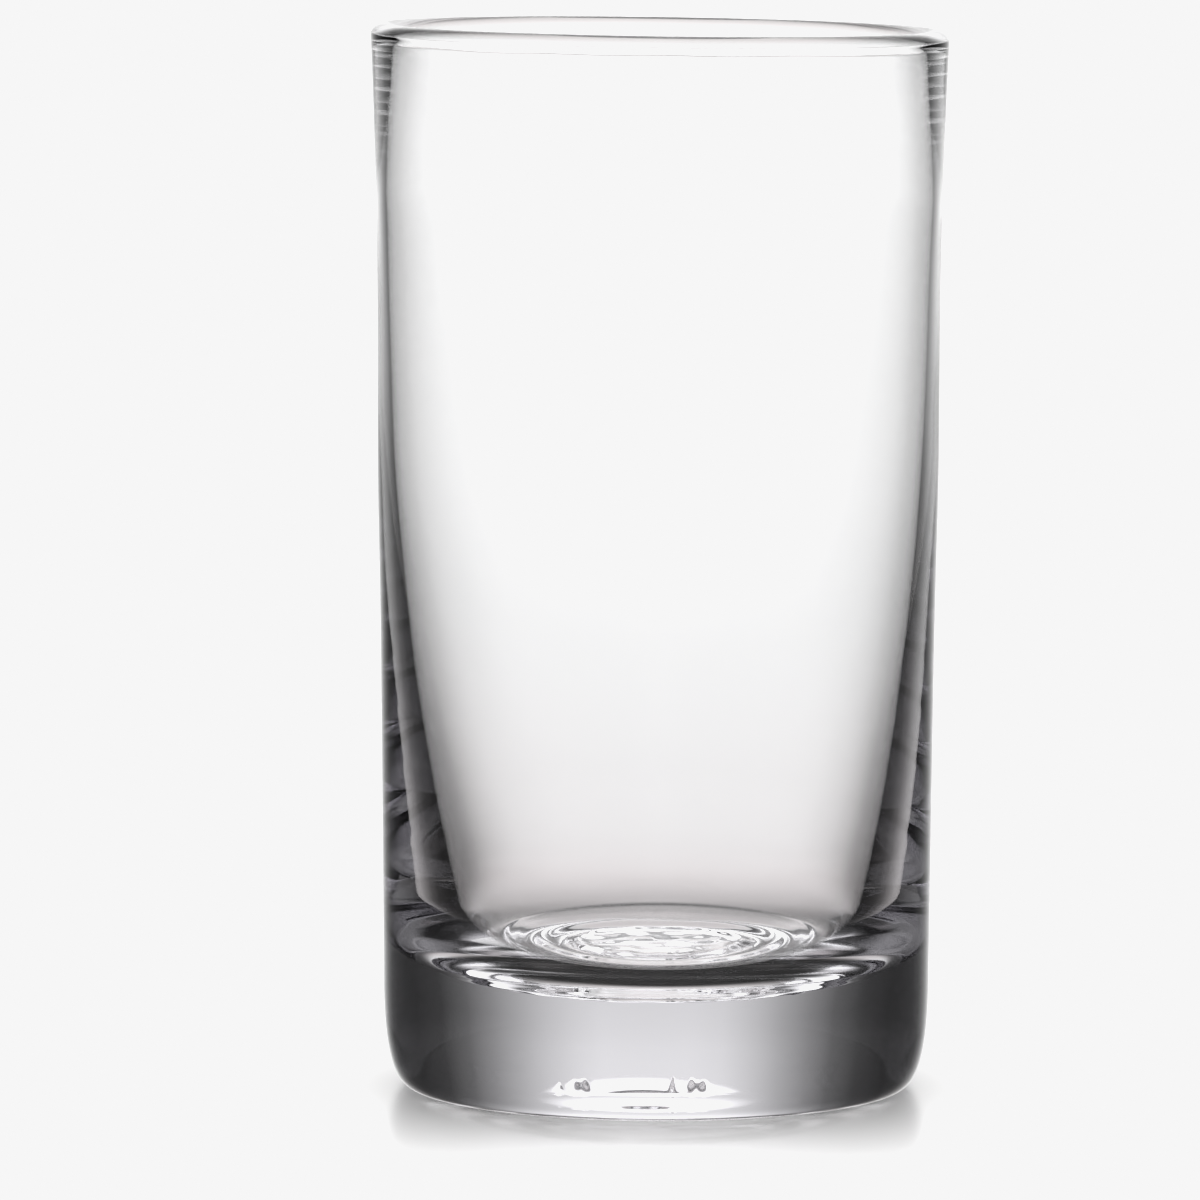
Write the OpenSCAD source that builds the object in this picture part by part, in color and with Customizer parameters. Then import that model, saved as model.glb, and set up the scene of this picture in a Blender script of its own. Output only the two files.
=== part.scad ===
// Highball glass, hand blown, with a heavy base and a fire-polished lip.
// Millimetres, +Z up. The origin is the middle of the ring that the glass stands on.

/* [Overall] */
// Height from the table to the top of the lip
height = 140; // [115:1:165]
// Outside diameter where the rounding of the lip starts
rim_d = 76; // [72:0.5:86]
// Outside diameter at the top of the rounded bottom corner
base_d = 72.2; // [68:0.2:78]

/* [Lip] */
// Height of the lip
lip_h = 4; // [2.5:0.5:10]
// Thickness of the lip where its rounding starts
lip_t = 3; // [1.8:0.1:3.6]
// Height of the rounding over the lip
lip_round = 1.3; // [0.6:0.1:2]
// Height of the stretch under the lip that opens out
flare_h = 34; // [20:1:60]
// How far that stretch opens out on each side
flare = 0.6; // [0:0.1:2]

/* [Side wall] */
// Thickness of the wall at its thinnest
wall_t = 1.4; // [1:0.1:2.4]
// How far below the top the wall is thinnest
thin_drop = 22; // [12:1:40]
// Thickness of the wall where the heel of the cavity starts
heel_t = 8.1; // [5:0.1:11]

/* [Heavy base] */
// Height of the cavity's floor above the table
floor_h = 14.4; // [12:0.2:22]
// Diameter of the level floor
floor_d = 24; // [16:1:42]
// Height of the heel that curves from the floor up to the wall
heel_h = 12; // [8:0.5:20]
// Height of the rounded bottom corner
corner_h = 16; // [8:0.5:20]
// Outside diameter of the ring that the glass stands on
foot_d = 63.6; // [56:0.2:66]
// Diameter of the hollow under the base
hollow_d = 50; // [30:0.5:55]
// Depth of the hollow under the base
hollow_h = 3.6; // [1:0.1:6]

/* [Pontil mark] */
// Diameter of the pontil mark
pontil_d = 18; // [8:0.5:24]
// Thickness of the pontil mark at its edge
pontil_t = 2; // [1.5:0.1:4]
// Depth of the dish ground into it
pontil_dish = 1.2; // [0.2:0.1:1.4]

/* [Hidden] */
$fn = 160;
glass = [0.86, 0.89, 0.91, 0.35];
lip_glass = [0.80, 0.85, 0.88, 0.45];
base_glass = [0.80, 0.81, 0.86, 0.50];
pontil_glass = [0.90, 0.91, 0.94, 0.60];

// Steps along each curve
wall_steps = 36;
lip_steps = 6;
curve_steps = 14;

// Powers of the wall's thickening towards the lip, and of its slow and its fast thickening towards the heel
lip_power = 1.35;
slow_power = 1.5;
fast_power = 3.5;
// How much of the thickening towards the heel is the slow one
slow_share = 0.4;
// How round the bottom corner is: 2 is an ellipse, more is squarer
corner_power = 2.6;
// How far the heel follows the wall's line, and the floor's line, before it turns
heel_drop_share = 0.66;
heel_run_share = 0.68;
// How flat the hollow is on top: 2 is a dome, more has steeper sides
hollow_power = 5;

base_r = base_d / 2;
foot_r = foot_d / 2;
hollow_r = hollow_d / 2;
floor_r = floor_d / 2;
pontil_r = pontil_d / 2;
// Levels, from the table up
heel_z = floor_h + heel_h;
lip_z = height - lip_h;
round_z = height - lip_round;
thin_z = height - thin_drop;
flare_z = round_z - flare_h;
// Radius that the straight taper would have under the lip
neck_r = rim_d / 2 - flare;

function mix(a, b, share) = a + (b - a) * share;
function steps_between(a, b, count) = [for (i = [0:count]) mix(a, b, i / count)];

// Outside of the wall: a straight taper, which opens out under the lip
function outer_r(z) = mix(base_r, neck_r, (z - corner_h) / (round_z - corner_h))
    + flare * pow(max(0, (z - flare_z) / flare_h), 2);

// Thickness of the wall: least at thin_z, more towards the lip and much more towards the heel
function heel_rise(share) = slow_share * pow(share, slow_power) + (1 - slow_share) * pow(share, fast_power);
function thickness(z) = z > thin_z
    ? mix(wall_t, lip_t, pow((z - thin_z) / (round_z - thin_z), lip_power))
    : mix(wall_t, heel_t, heel_rise((thin_z - z) / (thin_z - heel_z)));
function inner_r(z) = outer_r(z) - thickness(z);

// Lean of the cavity's wall where the heel starts, in radius per height
heel_lean = (neck_r - base_r) / (round_z - corner_h)
    + (heel_t - wall_t) * (slow_share * slow_power + (1 - slow_share) * fast_power) / (thin_z - heel_z);

// Heel of the cavity: a cubic curve, in line with the wall at its top and with the floor at its end
heel_r = inner_r(heel_z);
heel_drop = heel_h * heel_drop_share;
heel_corners = [
    [heel_r, heel_z],
    [heel_r - heel_drop * heel_lean, heel_z - heel_drop],
    [mix(floor_r, heel_r, heel_run_share), floor_h],
    [floor_r, floor_h]
];
function cubic(c, s) = pow(1 - s, 3) * c[0] + 3 * s * pow(1 - s, 2) * c[1]
    + 3 * s * s * (1 - s) * c[2] + pow(s, 3) * c[3];

// Hollow under the base: a flat-topped dome that meets the table at hollow_r
function hollow_z(r) = hollow_h * (1 - pow(r / hollow_r, hollow_power));
pontil_edge_z = hollow_z(pontil_r);
pontil_top_z = pontil_edge_z + pontil_t;

outer_points = function(a, b, count) [for (z = steps_between(a, b, count)) [outer_r(z), z]];
inner_points = function(a, b, count) [for (z = steps_between(a, b, count)) [inner_r(z), z]];

// Bottom corner, from the standing ring up to the wall
corner_points = [for (a = steps_between(90, 0, curve_steps)) [
    foot_r + (base_r - foot_r) * pow(cos(a), 2 / corner_power),
    corner_h * (1 - pow(sin(a), 2 / corner_power))
]];

// Rounding over the lip, from the outside to the inside
lip_middle_r = rim_d / 2 - lip_t / 2;
crest_points = [for (a = steps_between(0, 180, curve_steps)) [
    lip_middle_r + lip_t / 2 * cos(a),
    round_z + lip_round * sin(a)
]];

module rim_lip() {
    color(lip_glass)
    rotate_extrude()
    polygon(concat(
        [for (z = steps_between(lip_z, round_z, lip_steps)) if (z < round_z) [outer_r(z), z]],
        crest_points,
        [for (z = steps_between(round_z, lip_z, lip_steps)) if (z < round_z) [inner_r(z), z]]
    ));
}

module side_wall() {
    color(glass)
    rotate_extrude()
    polygon(concat(
        outer_points(heel_z, lip_z, wall_steps),
        inner_points(lip_z, heel_z, wall_steps)
    ));
}

module heavy_base() {
    color(base_glass)
    rotate_extrude()
    polygon(concat(
        [[0, pontil_top_z], [pontil_r, pontil_top_z]],
        [for (r = steps_between(pontil_r, hollow_r, curve_steps)) [r, hollow_z(r)]],
        corner_points,
        [for (z = steps_between(corner_h, heel_z, lip_steps)) if (z > corner_h) [outer_r(z), z]],
        [for (s = steps_between(0, 1, curve_steps)) cubic(heel_corners, s)],
        [[0, floor_h]]
    ));
}

module pontil_mark() {
    color(pontil_glass)
    rotate_extrude()
    polygon(concat(
        [[0, pontil_top_z], [pontil_r, pontil_top_z]],
        [for (r = steps_between(pontil_r, 0, curve_steps))
            [r, pontil_edge_z + pontil_dish * (1 - pow(r / pontil_r, 2))]]
    ));
}

heavy_base();
side_wall();
pontil_mark();
rim_lip();
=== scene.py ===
import math

import bpy
import numpy as np
from mathutils import Matrix


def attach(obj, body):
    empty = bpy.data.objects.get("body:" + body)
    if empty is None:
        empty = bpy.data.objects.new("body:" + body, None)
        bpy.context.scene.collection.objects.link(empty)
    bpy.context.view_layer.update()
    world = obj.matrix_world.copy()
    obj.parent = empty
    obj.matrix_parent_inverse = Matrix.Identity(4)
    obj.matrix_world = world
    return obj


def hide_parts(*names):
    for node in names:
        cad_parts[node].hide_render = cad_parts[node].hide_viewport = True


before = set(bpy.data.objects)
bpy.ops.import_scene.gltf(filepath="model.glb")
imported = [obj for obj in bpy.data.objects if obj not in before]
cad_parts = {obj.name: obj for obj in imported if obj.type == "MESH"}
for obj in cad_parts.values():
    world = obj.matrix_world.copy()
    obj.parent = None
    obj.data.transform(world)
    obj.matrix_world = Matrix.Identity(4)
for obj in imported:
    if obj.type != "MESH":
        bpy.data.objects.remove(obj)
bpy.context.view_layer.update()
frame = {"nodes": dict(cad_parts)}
scene = bpy.context.scene
mm = 0.001
print("frame loaded:", ", ".join(frame["nodes"]))


# sRGB hex to linear: each channel over 255, then the sRGB curve undone
def linear(hexColour):
    c = np.array([int(hexColour[i:i + 2], 16) / 255 for i in (1, 3, 5)])
    return (*np.where(c <= 0.04045, c / 12.92, ((c + 0.055) / 1.055) ** 2.4), 1.0)


# Adds one node: values are settings of the node, inputs are numbers, colours or sockets to link
def addNode(tree, kind, inputs=None, **values):
    node = tree.nodes.new(kind)
    for name, value in values.items():
        setattr(node, name, value)
    for name, value in (inputs or {}).items():
        if isinstance(value, bpy.types.NodeSocket):
            tree.links.new(value, node.inputs[name])
        else:
            node.inputs[name].default_value = value
    return node


def newMaterial(name):
    material = bpy.data.materials.new(name)
    material.use_nodes = True
    material.node_tree.nodes.clear()
    return material, material.node_tree


# Camera: a little above the rim, far off, with a long lens. Places in mm, turns in degrees
view = {
    "distance": 1184, "height": 181.3, "pitch": 5.64, "yaw": 0.368, "roll": 0.2,
    "lens": 270.6, "sensor": 36, "clipEnd": 100,  # clipEnd in metres
}
cameraData = bpy.data.cameras.new("productCamera")
cameraData.lens = view["lens"]
cameraData.sensor_width = view["sensor"]
cameraData.clip_end = view["clipEnd"]
camera = bpy.data.objects.new("productCamera", cameraData)
scene.collection.objects.link(camera)
camera.matrix_world = (
    Matrix.Translation((0, -view["distance"] * mm, view["height"] * mm))
    @ Matrix.Rotation(math.radians(view["yaw"]), 4, "Z")
    @ Matrix.Rotation(math.radians(90 - view["pitch"]), 4, "X")
    @ Matrix.Rotation(math.radians(view["roll"]), 4, "Z")
)
scene.camera = camera
print("camera placed")


# Sizes of the glass in mm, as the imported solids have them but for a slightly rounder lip, a shallower pontil
# dish and a wall that thickens a little sooner
tumbler = {
    "height": 140, "rimD": 76, "baseD": 72.2,
    "lipT": 3, "lipRound": 1.4, "lipIn": 1.4, "lipOutShare": 0.5, "lipOutPower": 1.6, "lipInPower": 1.6,
    "bead": 0.2, "beadH": 2.4, "flareH": 34, "flare": 0.6,
    "wallT": 1.4, "thinDrop": 22, "heelT": 8.1,
    "floorH": 14.4, "floorD": 24, "heelH": 12,
    "cornerH": 16, "footD": 63.6, "hollowD": 50, "hollowH": 3.6,
    "pontilD": 18, "pontilDish": 0.95,
    "lipPower": 1.35, "slowPower": 1.5, "fastPower": 3.3, "slowShare": 0.36,
    "cornerPower": 2.6, "heelDropShare": 0.66, "heelRunShare": 0.68, "hollowPower": 5,
    "around": 256,
}
# Points along each stretch of the half section, and the levels in mm where the inside's spacing changes
sectionRows = {
    "pontil": 38, "hollow": 20, "corner": 40, "outside": 60, "crest": 22,
    "upper": 26, "middle": 18, "lower": 58, "heel": 58, "floor": 30, "upperTo": 126, "middleTo": 62,
}
# How far handwork leaves the glass from a true round, in mm
handwork = {
    "rimTilt": 0.4, "rimTiltFrom": 90,             # the lip was sheared a little aslant, higher on the left
    "cavityShift": 0.3, "cavityShiftTo": 80,       # the cavity leans to the right low down
    "belly": 0.2, "bellyAt": 82, "bellyWide": 14,  # faint swelling half way up
    "ringsAt": (134.5, 132.4, 130.2, 57.2, 51.6, 43.6, 33.8, 25.4),
    "ringDeep": 0.004, "ringDeepShares": (0.6, 1.2), "ringWide": 1.1, "ringSway": 0.5, "ringSeed": 5,
    "outerWave": 0.002, "innerWave": 0.004, "wallWaveShort": 14, "wallWaveLong": 40,
    "outerSeed": 3, "innerSeed": 4,
    "floorRing": 0.5, "floorRingStep": 5.4, "floorRingFrom": 9, "floorRingTo": 20,
    "ridge": 0.3, "ridgeAt": 22, "ridgeEdge": 0.8, "ridgeWide": 5,  # low raised ring at the foot of the heel
    "crumple": 0.08, "crumpleShort": 3, "crumpleLong": 7, "crumpleTo": 12, "crumpleSeed": 8, "floorFade": 3,
    # nicks left in the pontil's dish where the rod broke off: x, y and half width
    "nicks": ((-7.6, -3, 0.3), (-6.2, -2.6, 0.5), (-5.3, -3.2, 0.45),
              (2.8, -4, 0.3), (4.5, -3.2, 0.45), (5.6, -3, 0.55)),
    "nickDeep": 0.4, "nickLong": 2.2, "nickFade": 2, "pontilShift": -1.2,
}


# Smooth step: 0 below 0, 1 above 1, and 3s^2 - 2s^3 between
def smooth(s):
    s = np.clip(s, 0, 1)
    return s * s * (3 - 2 * s)


# Hump: 1 at the middle, falling off as a bell curve
def hump(x, middle, wide):
    return np.exp(-((x - middle) / wide) ** 2)


# Waves: the sum of cosines along seeded random directions, over the root of half their number
def waves(x, y, seed, short, long, count=24):
    rng = np.random.default_rng(seed)
    length = rng.uniform(short, long, count)
    turn, phase = rng.uniform(0, 2 * np.pi, (2, count))
    along = x[..., None] * np.cos(turn) + y[..., None] * np.sin(turn)
    return np.cos(2 * np.pi * along / length + phase).sum(axis=-1) / np.sqrt(count / 2)


# Half section of the glass, from the middle of the underside round to the middle of the cavity's floor
def tumblerSection(t, rows):
    baseR, footR, hollowR = t["baseD"] / 2, t["footD"] / 2, t["hollowD"] / 2
    floorR, pontilR = t["floorD"] / 2, t["pontilD"] / 2
    heelZ, roundZ = t["floorH"] + t["heelH"], t["height"] - t["lipRound"]
    thinZ, flareZ = t["height"] - t["thinDrop"], roundZ - t["flareH"]
    neckR = t["rimD"] / 2 - t["flare"]

    # outside: a straight taper plus a squared flare under the lip
    def outerR(z):
        taper = baseR + (neckR - baseR) * (z - t["cornerH"]) / (roundZ - t["cornerH"])
        return taper + t["flare"] * np.maximum(0, (z - flareZ) / t["flareH"]) ** 2

    # wall: least at thinZ, a power law up to the lip, and a slow and a fast power law down to the heel
    def wall(z):
        up = np.maximum(0, (z - thinZ) / (roundZ - thinZ)) ** t["lipPower"]
        down = np.maximum(0, (thinZ - z) / (thinZ - heelZ))
        down = t["slowShare"] * down ** t["slowPower"] + (1 - t["slowShare"]) * down ** t["fastPower"]
        bead = t["bead"] * smooth((z - t["height"] + t["beadH"]) / (t["beadH"] - t["lipIn"]))
        return t["wallT"] + (t["lipT"] - t["wallT"]) * up + (t["heelT"] - t["wallT"]) * down + bead

    # heel: a cubic curve from the wall's line to the floor's line
    lean = (neckR - baseR) / (roundZ - t["cornerH"]) + (t["heelT"] - t["wallT"]) / (thinZ - heelZ) * (
        t["slowShare"] * t["slowPower"] + (1 - t["slowShare"]) * t["fastPower"])
    heelR, drop = outerR(heelZ) - wall(heelZ), t["heelH"] * t["heelDropShare"]
    runR = floorR + (heelR - floorR) * t["heelRunShare"]
    corners = np.array([[heelR, heelZ], [heelR - drop * lean, heelZ - drop],
                        [runR, t["floorH"]], [floorR, t["floorH"]]])
    s = np.linspace(0, 1, rows["heel"])[:, None]
    heel = (1 - s) ** 3 * corners[0] + 3 * s * (1 - s) ** 2 * corners[1]
    heel = heel + 3 * s * s * (1 - s) * corners[2] + s ** 3 * corners[3]

    # hollow: a flat-topped dome, with the dish of the pontil mark in its top
    pontil = np.linspace(0, pontilR, rows["pontil"])
    r = np.concatenate([pontil, np.linspace(pontilR, hollowR, rows["hollow"])[1:]])
    hollow = t["hollowH"] * (1 - (r / hollowR) ** t["hollowPower"])
    hollow += t["pontilDish"] * np.maximum(0, 1 - (r / pontilR) ** 2)
    # corner: a squared-off quarter ellipse
    a = np.linspace(np.pi / 2, 0, rows["corner"])
    cornerR = footR + (baseR - footR) * np.abs(np.cos(a)) ** (2 / t["cornerPower"])
    cornerZ = t["cornerH"] * (1 - np.abs(np.sin(a)) ** (2 / t["cornerPower"]))
    outZ = np.linspace(t["cornerH"], roundZ, rows["outside"])[1:]
    # crest: a quarter curve over the outside of the lip and one down its inside, each of its own power
    lipZ = t["height"] - t["lipIn"]
    full = t["rimD"] / 2 - outerR(lipZ) + wall(lipZ)
    a = np.linspace(0, np.pi / 2, rows["crest"])
    outPower, inPower = 2 / t["lipOutPower"], 2 / t["lipInPower"]
    topR = t["rimD"] / 2 - full * t["lipOutShare"]
    low, high = np.abs(np.cos(a[1:])), np.sin(a[1:])
    outLip = topR + full * t["lipOutShare"] * low ** outPower, roundZ + t["lipRound"] * high ** outPower
    low, high = np.cos(a[1:-1]), np.sin(a[1:-1])
    inLip = topR - full * (1 - t["lipOutShare"]) * high ** inPower, lipZ + t["lipIn"] * low ** inPower
    crestR, crestZ = np.concatenate([outLip, inLip], axis=1)
    inZ = np.concatenate([
        np.linspace(lipZ, rows["upperTo"], rows["upper"]),
        np.linspace(rows["upperTo"], rows["middleTo"], rows["middle"])[1:],
        np.linspace(rows["middleTo"], heelZ, rows["lower"])[1:],
    ])
    flatR = np.linspace(floorR, 0, rows["floor"])[1:]
    parts = {
        "under": (r, hollow),
        "corner": (cornerR, cornerZ),
        "outside": (outerR(outZ), outZ),
        "crest": (crestR, crestZ),
        "inside": (outerR(inZ) - wall(inZ), inZ),
        "heel": (heel[1:, 0], heel[1:, 1]),
        "floor": (flatR, np.full_like(flatR, t["floorH"])),
    }
    sectionR, sectionZ = np.concatenate([np.array(v) for v in parts.values()], axis=1)
    partOf = np.concatenate([np.full(len(v[0]), i) for i, v in enumerate(parts.values())])
    return sectionR, sectionZ, partOf, list(parts)


# Carries the section round the axis, then moves each point by the handwork of its part of the glass
def tumblerGrid(t, h):
    r, z, partOf, names = tumblerSection(t, sectionRows)
    a = np.arange(t["around"]) * 2 * np.pi / t["around"]
    r, z, a = r[:, None] + 0 * a, z[:, None] + 0 * a, a[None, :] + 0 * r[:, None]
    part = {name: (partOf == i)[:, None] for i, name in enumerate(names)}
    cavity = part["inside"] | part["heel"] | part["floor"]
    skin = part["outside"] | part["crest"] | part["inside"]
    r = r + skin * h["belly"] * hump(z, h["bellyAt"], h["bellyWide"])
    # rings left by the blowing: humps that stand in from the cavity's wall, at levels that sway round it
    rng = np.random.default_rng(h["ringSeed"])
    blown = part["inside"] | part["heel"]
    for level in h["ringsAt"]:
        phase, deep = rng.uniform(0, 2 * np.pi), rng.uniform(*h["ringDeepShares"])
        sway = h["ringSway"] * np.cos(2 * a + phase)
        r = r - blown * h["ringDeep"] * deep * hump(z + sway, level, h["ringWide"])
    # slow waves over the outside and the inside
    lengths = h["wallWaveShort"], h["wallWaveLong"]
    roundX, roundY = np.cos(a) * t["rimD"] / 2, np.sin(a) * t["rimD"] / 2
    r = r + part["outside"] * h["outerWave"] * waves(roundX, z + roundY, h["outerSeed"], *lengths)
    r = r + part["inside"] * h["innerWave"] * waves(roundX, z - roundY, h["innerSeed"], *lengths)
    x, y = r * np.cos(a), r * np.sin(a)
    # floor: rings as a cosine of the radius, crumples as waves and a raised ring, each faded by smooth steps
    fade = h["floorFade"]
    span = smooth((r - h["floorRingFrom"]) / fade) * (1 - smooth((r - h["floorRingTo"] + fade) / fade))
    floorRing = h["floorRing"] * np.cos(2 * np.pi * r / h["floorRingStep"]) * span
    crumple = h["crumple"] * waves(x, y, h["crumpleSeed"], h["crumpleShort"], h["crumpleLong"])
    crumple = crumple * (1 - smooth((r - h["crumpleTo"]) / fade))
    ridge = smooth((h["ridgeAt"] - r) / h["ridgeEdge"])
    ridge = ridge * smooth((r - h["ridgeAt"] + h["ridgeWide"]) / h["ridgeWide"])
    z = z + (part["heel"] | part["floor"]) * (floorRing + crumple + h["ridge"] * ridge)
    # the pontil mark is nicked, and sits a little to the left
    for nickX, nickY, wide in h["nicks"]:
        nick = h["nickDeep"] * hump(x, nickX, wide) * hump(y, nickY, h["nickLong"])
        z = z + part["under"] * nick * (1 - smooth((r - t["pontilD"] / 2) / h["nickFade"] + 0.5))
    x = x + part["under"] * h["pontilShift"]
    # the cavity leans, and the lip is aslant
    x = x + cavity * h["cavityShift"] * (1 - smooth((z - t["floorH"]) / (h["cavityShiftTo"] - t["floorH"])))
    slant = smooth((z - h["rimTiltFrom"]) / (t["height"] - h["rimTiltFrom"]))
    z = z - h["rimTilt"] * x / (t["rimD"] / 2) * slant
    return np.stack([x, y, z], axis=-1) * mm


# Closed skin over a grid whose first and last rows are poles
def gridMesh(name, grid):
    rows, around = grid.shape[:2]
    points = np.concatenate([grid[0, :1], grid[1:-1].reshape(-1, 3), grid[-1, :1]])
    ring = np.arange((rows - 2) * around).reshape(rows - 2, around) + 1
    after = np.roll(ring, -1, axis=1)
    quads = np.stack([ring[:-1], after[:-1], after[1:], ring[1:]], axis=-1).reshape(-1, 4)
    first = np.stack([np.zeros(around, int), after[0], ring[0]], axis=-1)
    last = np.stack([np.full(around, len(points) - 1), ring[-1], after[-1]], axis=-1)
    mesh = bpy.data.meshes.new(name)
    mesh.from_pydata(points, [], first.tolist() + quads.tolist() + last.tolist())
    mesh.polygons.foreach_set("use_smooth", np.ones(len(mesh.polygons), bool))
    mesh.update()
    piece = bpy.data.objects.new(name, mesh)
    scene.collection.objects.link(piece)
    return piece


# Clear soda-lime glass, blown by hand and fire polished: no colour in a thin wall, a cool grey through the
# thick base, and a ground ring underneath that years of tables have dulled
glassFinish = {
    "ior": 1.5, "through": "#BEBCC2", "density": 15,
    "wornFrom": 0.1, "wornTo": 0.3, "wornRough": 0.22, "scratch": 0.35,  # levels and scratch size in mm
}
glassMaterial, tree = newMaterial("clearGlassBlownFirePolished")
place = addNode(tree, "ShaderNodeTexCoord").outputs["Object"]
level = addNode(tree, "ShaderNodeSeparateXYZ", {0: place}).outputs["Z"]
low = addNode(tree, "ShaderNodeMapRange", {
    "Value": level, "From Min": glassFinish["wornFrom"] * mm, "From Max": glassFinish["wornTo"] * mm,
    "To Min": glassFinish["wornRough"], "To Max": 0.0,
}).outputs[0]
scratches = addNode(tree, "ShaderNodeTexNoise", {
    "Vector": place, "Scale": 1 / (glassFinish["scratch"] * mm), "Detail": 2,
}).outputs[0]
rough = addNode(tree, "ShaderNodeMath", {0: low, 1: scratches}, operation="MULTIPLY").outputs[0]
shader = addNode(tree, "ShaderNodeBsdfPrincipled", {
    "Base Color": linear("#FFFFFF"), "Roughness": rough, "IOR": glassFinish["ior"],
    "Transmission Weight": 1.0,
})
depth = addNode(tree, "ShaderNodeVolumeAbsorption", {
    "Color": linear(glassFinish["through"]), "Density": glassFinish["density"],
})
addNode(tree, "ShaderNodeOutputMaterial", {"Surface": shader.outputs[0], "Volume": depth.outputs[0]})

glass = gridMesh("highballGlass", tumblerGrid(tumbler, handwork))
glass.data.materials.append(glassMaterial)
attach(glass, "root")
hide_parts("heavy_base", "side_wall", "pontil_mark", "rim_lip")
print("glass made:", len(glass.data.polygons), "faces")


# Studio: a white room for what is seen past the glass, and behind the glass one soft bright panel,
# with dim sides and paler walls facing it, which is all that the glass itself sees. The room stands still.
# Brightness by the angle round from +Y and up from level, in degrees
studio = {
    "room": 1.2, "least": 0.02, "radius": 12.0, "segments": 96, "bounces": 32, "paperWhite": 0.9216,
    "warm": "#FFFAFA", "warmFrom": -30, "warmTo": -12,  # light off the table is a little warm
    # how many times narrower the panel is at each upright angle
    "narrow": ((-90, 1.1), (-12, 1.1), (-8.5, 1.0), (-7.5, 1.0), (-4.5, 1.08), (90, 1.08)),
    "across": ((-180, 0.3), (-115, 0.3), (-80, 0.02), (-50, 0.02), (-39, 0.05), (-31, 0.13), (-25.5, 0.28),
               (-20, 0.48), (-15, 0.72), (-10, 0.92), (-5, 1.0), (8, 1.0), (12, 0.9), (17, 0.72), (22, 0.51),
               (27.5, 0.31), (34, 0.14), (42, 0.05), (54, 0.02), (80, 0.02), (115, 0.3), (180, 0.3)),
    "upright": ((-90, 0.01), (-58, 0.03), (-50, 0.3), (-44, 0.72), (-36, 0.92), (-26, 1.08), (-18, 1.13),
                (-11, 1.16), (-6, 1.28), (0, 1.42), (12, 1.5), (20, 2.4), (60, 2.4), (75, 0.6), (90, 0.05)),
}
world = bpy.data.worlds.new("whiteRoom")
scene.world = world
world.use_nodes = True
world.node_tree.nodes["Background"].inputs[0].default_value = (studio["room"],) * 3 + (1,)


# Brightness ramp over an angle: straight lines between the stops
def angleRamp(tree, angle, stops):
    top = max(v for _, v in stops)
    turn = addNode(tree, "ShaderNodeMapRange", {
        "Value": angle, "From Min": -math.pi, "From Max": math.pi,
    }).outputs[0]
    ramp = addNode(tree, "ShaderNodeValToRGB", {0: turn})
    marks = ramp.color_ramp.elements
    marks.remove(marks[1])
    marks[0].position = (stops[0][0] + 180) / 360
    for degrees, value in stops:
        mark = marks[0] if degrees == stops[0][0] else marks.new((degrees + 180) / 360)
        mark.color = (value / top,) * 3 + (1,)
    return addNode(tree, "ShaderNodeMath", {0: ramp.outputs[0], 1: top}, operation="MULTIPLY").outputs[0]


panelMaterial, tree = newMaterial("softPanelLight")
place = addNode(tree, "ShaderNodeTexCoord").outputs["Object"]
aim = addNode(tree, "ShaderNodeVectorMath", {0: place}, operation="NORMALIZE").outputs[0]
axes = addNode(tree, "ShaderNodeSeparateXYZ", {0: aim}).outputs
across = addNode(tree, "ShaderNodeMath", {0: axes["X"], 1: axes["Y"]}, operation="ARCTAN2").outputs[0]
upright = addNode(tree, "ShaderNodeMath", {0: axes["Z"]}, operation="ARCSINE").outputs[0]
narrow = angleRamp(tree, upright, studio["narrow"])
across = addNode(tree, "ShaderNodeMath", {0: across, 1: narrow}, operation="MULTIPLY").outputs[0]
both = addNode(tree, "ShaderNodeMath", {
    0: angleRamp(tree, across, studio["across"]), 1: angleRamp(tree, upright, studio["upright"]),
}, operation="MULTIPLY").outputs[0]
glow = addNode(tree, "ShaderNodeMath", {0: both, 1: studio["least"]}, operation="MAXIMUM").outputs[0]
warm = addNode(tree, "ShaderNodeMapRange", {
    "Value": upright,
    "From Min": math.radians(studio["warmFrom"]), "From Max": math.radians(studio["warmTo"]),
}).outputs[0]
tint = addNode(tree, "ShaderNodeValToRGB", {0: warm})
tint.color_ramp.elements[0].color = linear(studio["warm"])
glow = addNode(tree, "ShaderNodeEmission", {"Color": tint.outputs[0], "Strength": glow}).outputs[0]
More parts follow.
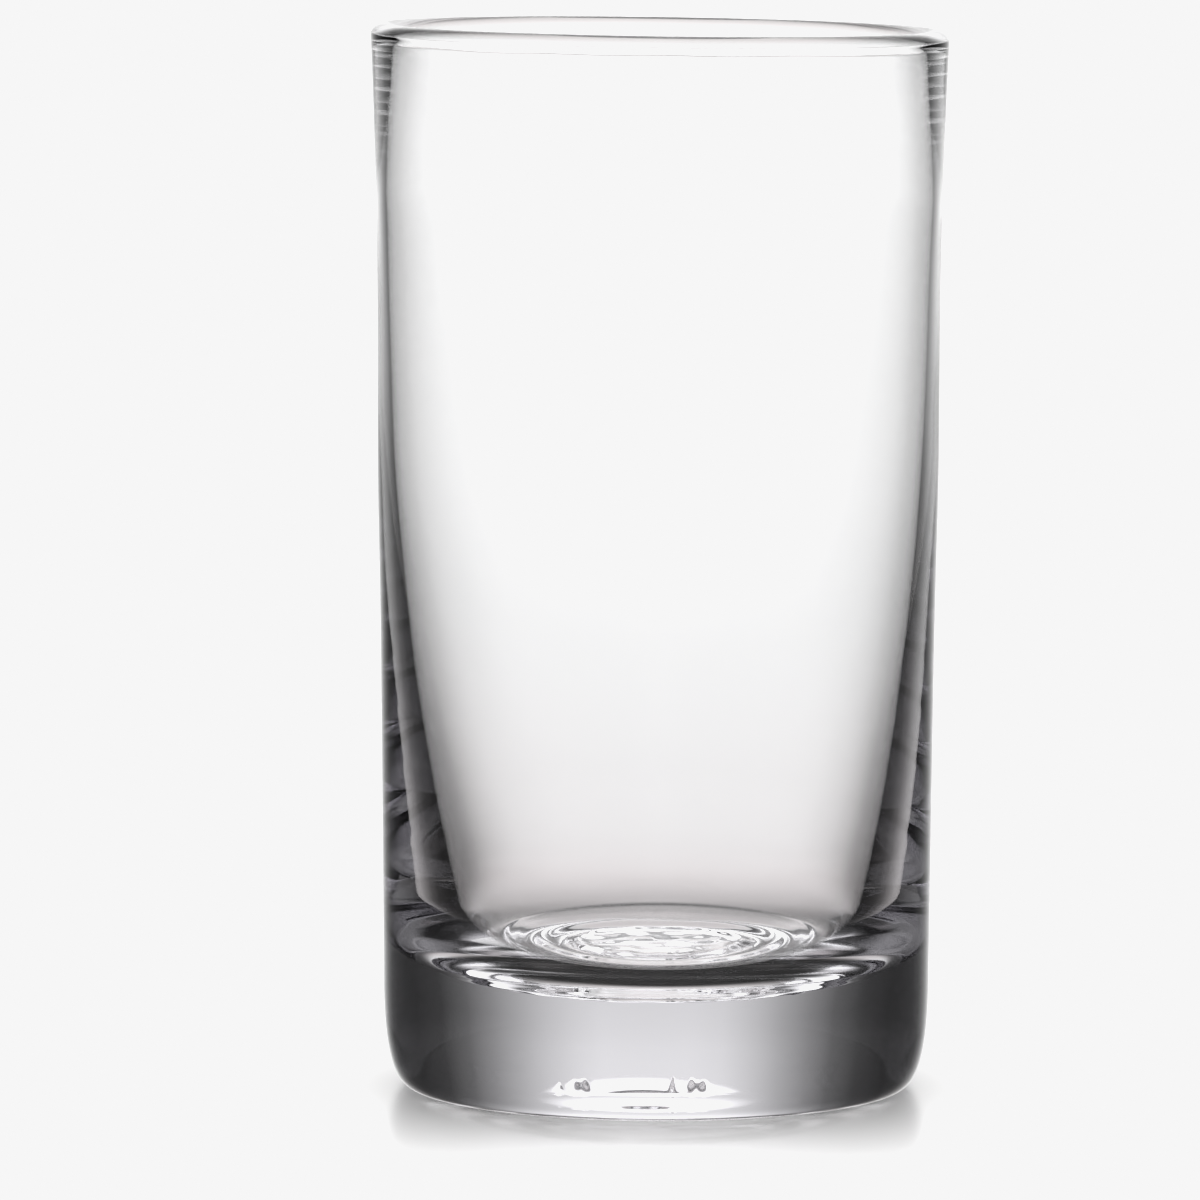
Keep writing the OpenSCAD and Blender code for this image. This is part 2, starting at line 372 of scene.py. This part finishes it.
addNode(tree, "ShaderNodeOutputMaterial", {"Surface": glow})

segments = studio["segments"]
bpy.ops.mesh.primitive_uv_sphere_add(radius=studio["radius"], segments=segments, ring_count=segments // 2)
panel = bpy.context.object
panel.name = "softPanel"
panel.data.materials.append(panelMaterial)
panel.visible_camera = panel.visible_diffuse = panel.visible_shadow = False

# Pale glossy table top that glows, evenly bright far off, with a painted shadow round the glass where the glow
# falls to least
table = {
    "half": 6.0, "colour": "#C4C3C3", "rough": 0.25, "drop": 0.15,
    "glow": (0.05, 0.9), "paintedShadowAt": (32, 80),  # strength near and far, and the distances from the axis in mm
}
tableMaterial, tree = newMaterial("whiteGlossTablePaintedShadow")
place = addNode(tree, "ShaderNodeTexCoord").outputs["Object"]
away = addNode(tree, "ShaderNodeVectorMath", {0: place}, operation="LENGTH").outputs["Value"]
# Painted shadow round the glass's foot: the table's glow is least near the glass and grows to full far off
glow = addNode(tree, "ShaderNodeMapRange", {
    "Value": away, "From Min": table["paintedShadowAt"][0] * mm, "From Max": table["paintedShadowAt"][1] * mm,
    "To Min": table["glow"][0], "To Max": table["glow"][1],
}).outputs[0]
shader = addNode(tree, "ShaderNodeBsdfPrincipled", {
    "Base Color": linear(table["colour"]), "Roughness": table["rough"], "IOR": 1.5,
    "Emission Color": linear("#FFFFFF"), "Emission Strength": glow,
})
addNode(tree, "ShaderNodeOutputMaterial", {"Surface": shader.outputs[0]})
bpy.ops.mesh.primitive_plane_add(size=2 * table["half"], location=(0, 0, -table["drop"] * mm))
tableTop = bpy.context.object
tableTop.name = "tableTop"
tableTop.data.materials.append(tableMaterial)
tableTop.visible_transmission = tableTop.visible_glossy = False
print("studio lit")

# Light goes many times to and fro in the thick base, and white paper comes out just under full white
scene.cycles.max_bounces = studio["bounces"]
scene.cycles.transmission_bounces = studio["bounces"]
scene.cycles.glossy_bounces = studio["bounces"]
scene.view_settings.view_transform = "Standard"
scene.view_settings.use_curve_mapping = True
tone = scene.view_settings.curve_mapping
tone.extend = "HORIZONTAL"
tone.curves[3].points[0].location = (0, 0)
tone.curves[3].points[1].location = (1, studio["paperWhite"])
tone.update()
